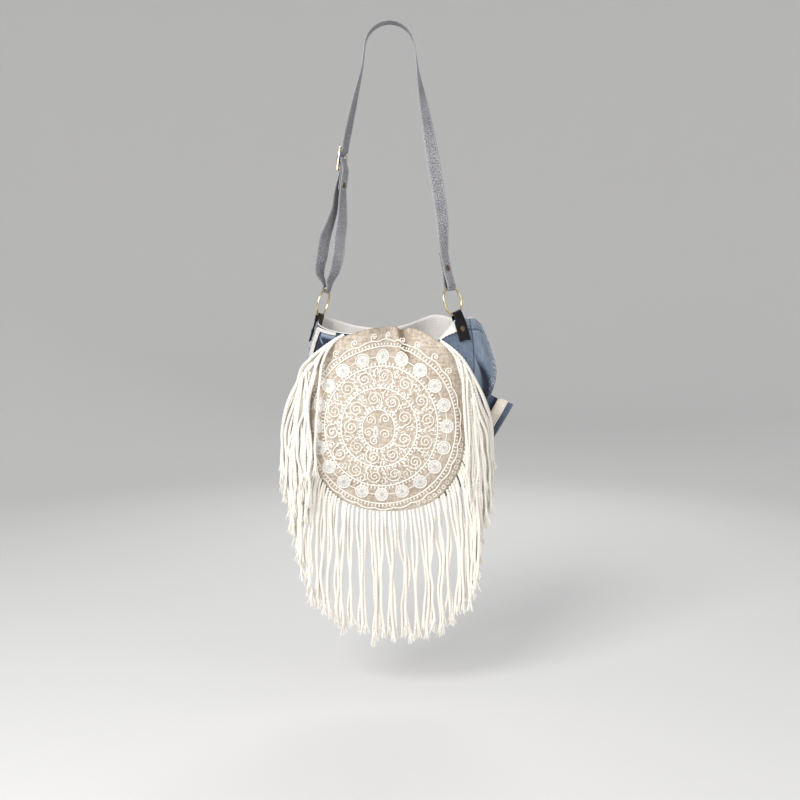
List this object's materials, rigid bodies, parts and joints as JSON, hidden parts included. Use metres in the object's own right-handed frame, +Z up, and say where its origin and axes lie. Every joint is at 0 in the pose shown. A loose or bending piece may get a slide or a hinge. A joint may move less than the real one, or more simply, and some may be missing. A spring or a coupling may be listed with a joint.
{
  "type": "fringe shoulder bag",
  "caption": "Soft denim shoulder bag with a round embroidered linen front panel, a long cotton cord fringe and an adjustable strap on gold rings.",
  "frame": {"origin": "under the top of the strap's loop, where the bag hangs from a hook or a shoulder", "axes": "+Z up along the hanging strap, -Y out of the embroidered front, +X to the right seen from the front"},
  "size_m": [0.3768, 0.1227, 0.9717],
  "materials": {
    "denim": "faded blue denim, matt, with pale worn seams",
    "dark_denim": "dark indigo denim, matt",
    "lining": "plain white cotton",
    "linen": "natural linen with raised white thread embroidery",
    "cotton_cord": "twisted off-white cotton cord with frayed ends",
    "tape": "white cotton tape",
    "strap_denim": "grey heather denim with paler edges",
    "leather": "black leather, satin",
    "gold": "pale gold plate, polished",
    "brass": "antique brass, satin",
    "cream_band": "cream cotton band"
  },
  "bodies": {
    "root": {"denim_body": "denim", "lining": "lining", "front_panel": "linen", "corner_tape": "tape", "fringe": "cotton_cord", "strap": "strap_denim", "slider": "gold", "ring_left": "gold", "ring_right": "gold", "tab_left": "leather", "tab_right": "leather", "rivet_tab_left": "brass", "rivet_tab_right": "brass", "rivet_strap_left": "brass", "rivet_strap_right": "brass", "side_cuff": "dark_denim", "cuff_band": "cream_band"}
  },
  "joints": []
}
